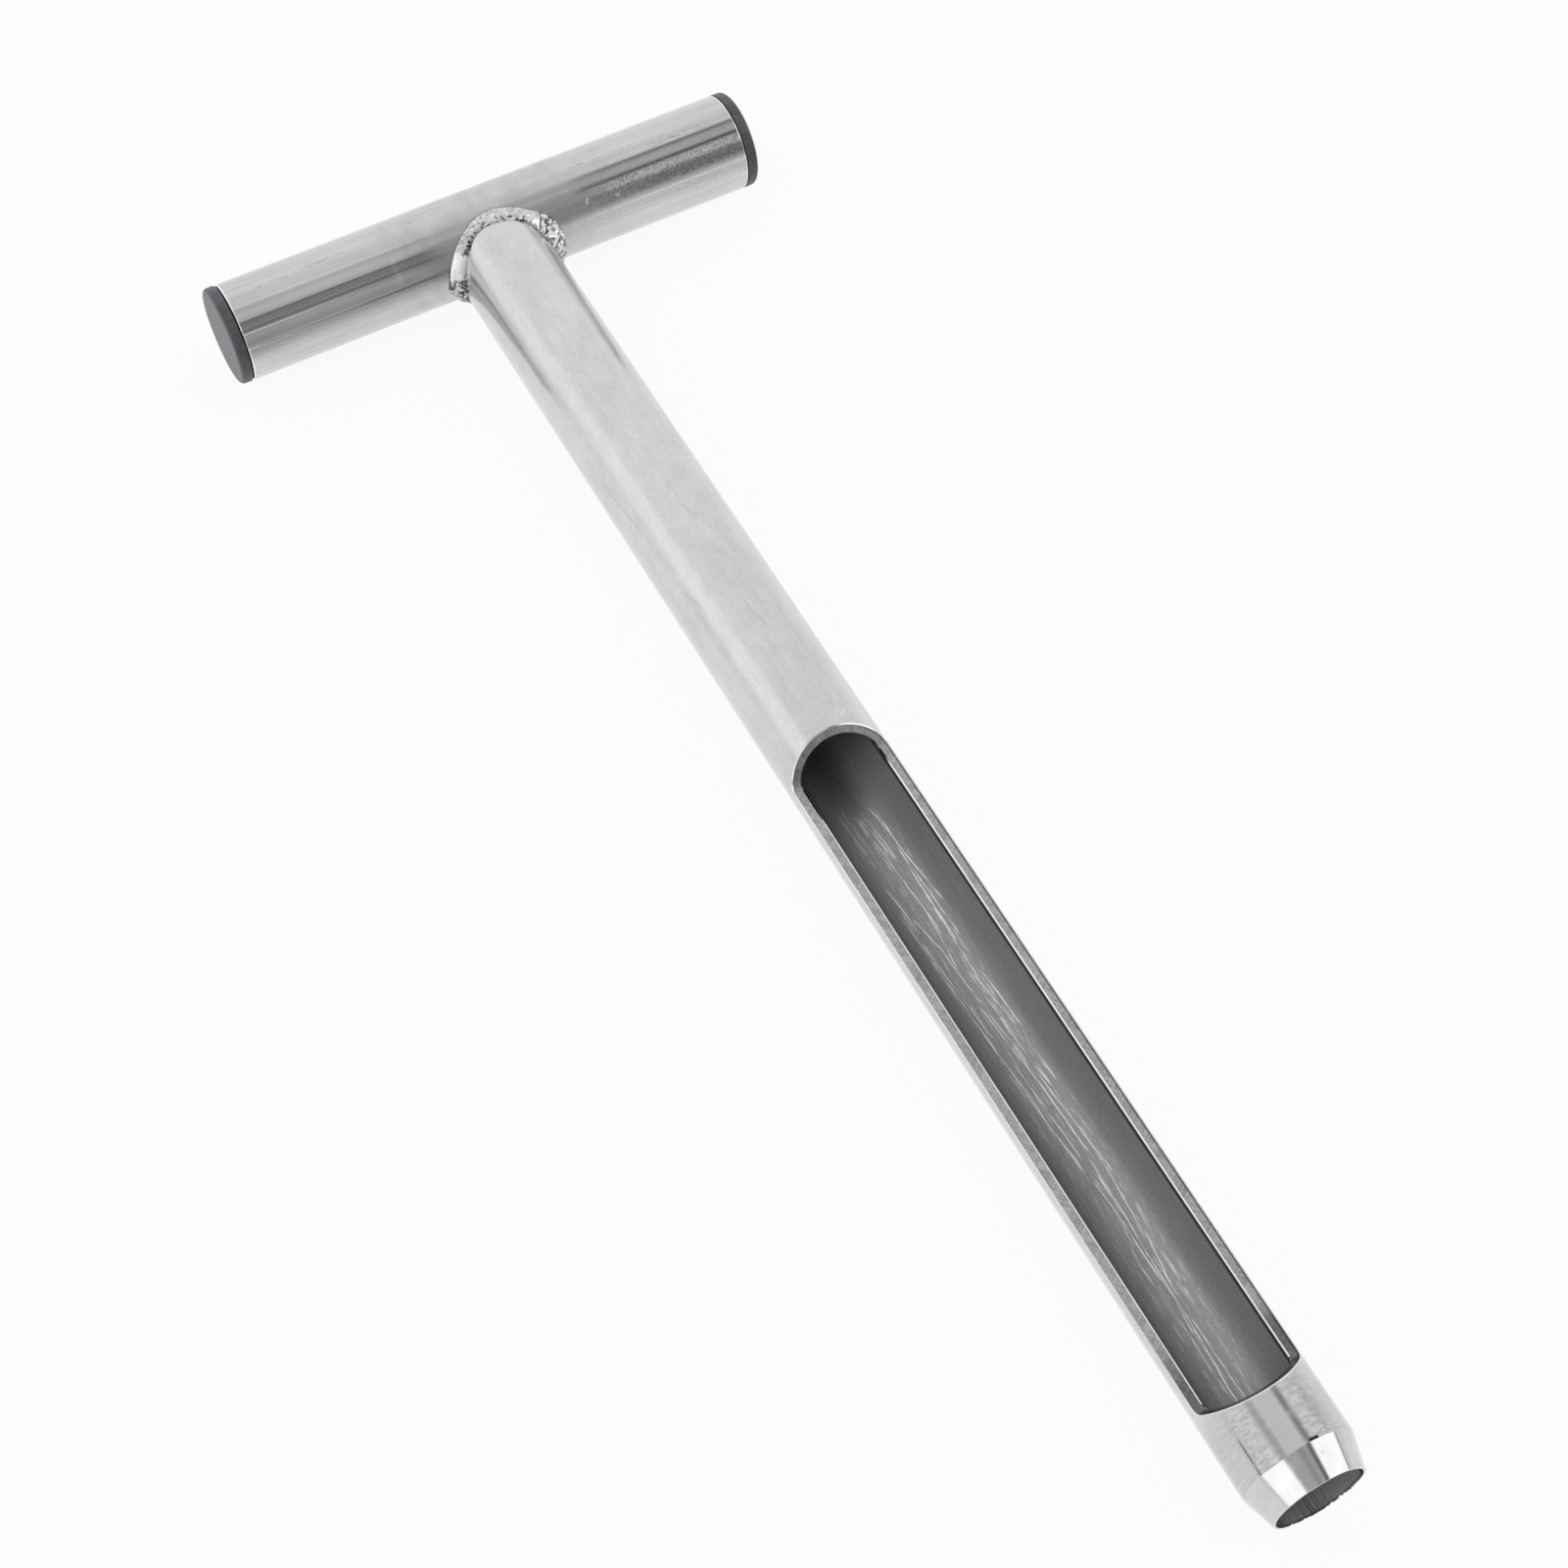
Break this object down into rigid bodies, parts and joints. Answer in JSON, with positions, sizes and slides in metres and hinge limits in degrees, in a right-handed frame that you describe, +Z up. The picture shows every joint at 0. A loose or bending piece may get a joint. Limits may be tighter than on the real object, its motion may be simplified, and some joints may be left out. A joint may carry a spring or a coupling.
{
  "type": "soil probe",
  "caption": "Hand soil probe: a T handle of round steel tube welded across a hollow probe tube with a long side window and a bevelled cutting lip, plastic plugs in the handle's ends.",
  "frame": {"origin": "middle of the footprint, on the surface that the tool lies on", "axes": "+Y along the probe from the cutting lip to the handle, +X along the handle, +Z up through the window"},
  "size_m": [0.1272, 0.3416, 0.0234],
  "materials": {
    "handle_steel": "drawn stainless tube, bright with fine lengthwise scratches",
    "probe_steel": "drawn stainless tube, satin outside and ground bright at the cutting end",
    "weld_steel": "rippled fillet weld, bare",
    "plug_plastic": "moulded dark grey plastic, satin"
  },
  "bodies": {
    "root": {"handle_tube": "handle_steel", "probe_tube": "probe_steel", "weld_bead": "weld_steel", "left_end_plug": "plug_plastic", "right_end_plug": "plug_plastic"}
  },
  "joints": []
}
